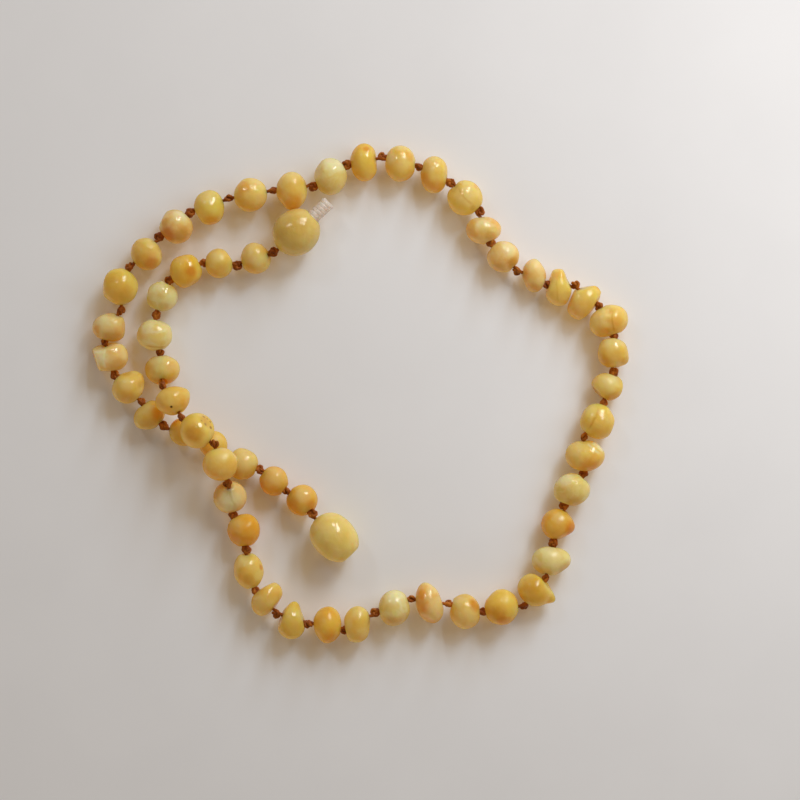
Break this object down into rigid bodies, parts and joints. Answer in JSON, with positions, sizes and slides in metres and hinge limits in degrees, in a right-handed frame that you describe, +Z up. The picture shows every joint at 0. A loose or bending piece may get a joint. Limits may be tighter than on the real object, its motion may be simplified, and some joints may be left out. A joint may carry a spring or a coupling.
{
  "type": "amber bead necklace",
  "caption": "Open necklace of small tumbled amber stones on one knotted brown thread, with a barrel screw clasp, lying in a loose loop.",
  "frame": {"origin": "centre of the bounding box at the height of the surface it lies on", "axes": "+X along the longest extent of the loop as it lies, +Z up, out of the surface"},
  "size_m": [0.0843, 0.0785, 0.0092],
  "materials": {
    "amber_milk": "tumbled and polished milky white-yellow amber",
    "amber_cream": "tumbled and polished peach-cream amber",
    "amber_butter": "tumbled and polished butter-yellow amber",
    "amber_lemon": "tumbled and polished translucent lemon amber",
    "amber_honey": "tumbled and polished honey amber",
    "amber_orange": "tumbled and polished orange amber",
    "waxed_thread": "rust-brown twisted waxed thread",
    "stud_half": "polished butterscotch amber",
    "socket_half": "polished lemon-butter amber",
    "clear_stud": "translucent pinkish moulded plastic"
  },
  "bodies": {
    "root": {"stone_01": "amber_butter", "stone_02": "amber_butter", "stone_03": "amber_honey", "stone_04": "amber_milk", "stone_05": "amber_milk", "stone_06": "amber_butter", "stone_07": "amber_butter", "stone_08": "amber_lemon", "stone_09": "amber_butter", "stone_10": "amber_milk", "stone_11": "amber_orange", "stone_12": "amber_butter", "stone_13": "amber_butter", "stone_14": "amber_lemon", "stone_15": "amber_honey", "stone_16": "amber_butter", "stone_17": "amber_milk", "stone_18": "amber_cream", "stone_19": "amber_butter", "stone_20": "amber_honey", "stone_21": "amber_lemon", "stone_22": "amber_milk", "stone_23": "amber_orange", "stone_24": "amber_milk", "stone_25": "amber_butter", "stone_26": "amber_lemon", "stone_27": "amber_butter", "stone_28": "amber_butter", "stone_29": "amber_butter", "stone_30": "amber_lemon", "stone_31": "amber_lemon", "stone_32": "amber_cream", "stone_33": "amber_cream", "stone_34": "amber_lemon", "stone_35": "amber_lemon", "stone_36": "amber_butter", "stone_37": "amber_lemon", "stone_38": "amber_honey", "stone_39": "amber_milk", "stone_40": "amber_butter", "stone_41": "amber_butter", "stone_42": "amber_lemon", "stone_43": "amber_cream", "stone_44": "amber_butter", "stone_45": "amber_lemon", "stone_46": "amber_cream", "stone_47": "amber_cream", "stone_48": "amber_butter", "stone_49": "amber_butter", "stone_50": "amber_honey", "stone_51": "amber_honey", "stone_52": "amber_honey", "stone_53": "amber_orange", "stone_54": "amber_orange", "thread": "waxed_thread", "clasp_stud_barrel": "stud_half", "clasp_stud": "clear_stud", "clasp_socket_barrel": "socket_half"}
  },
  "joints": []
}
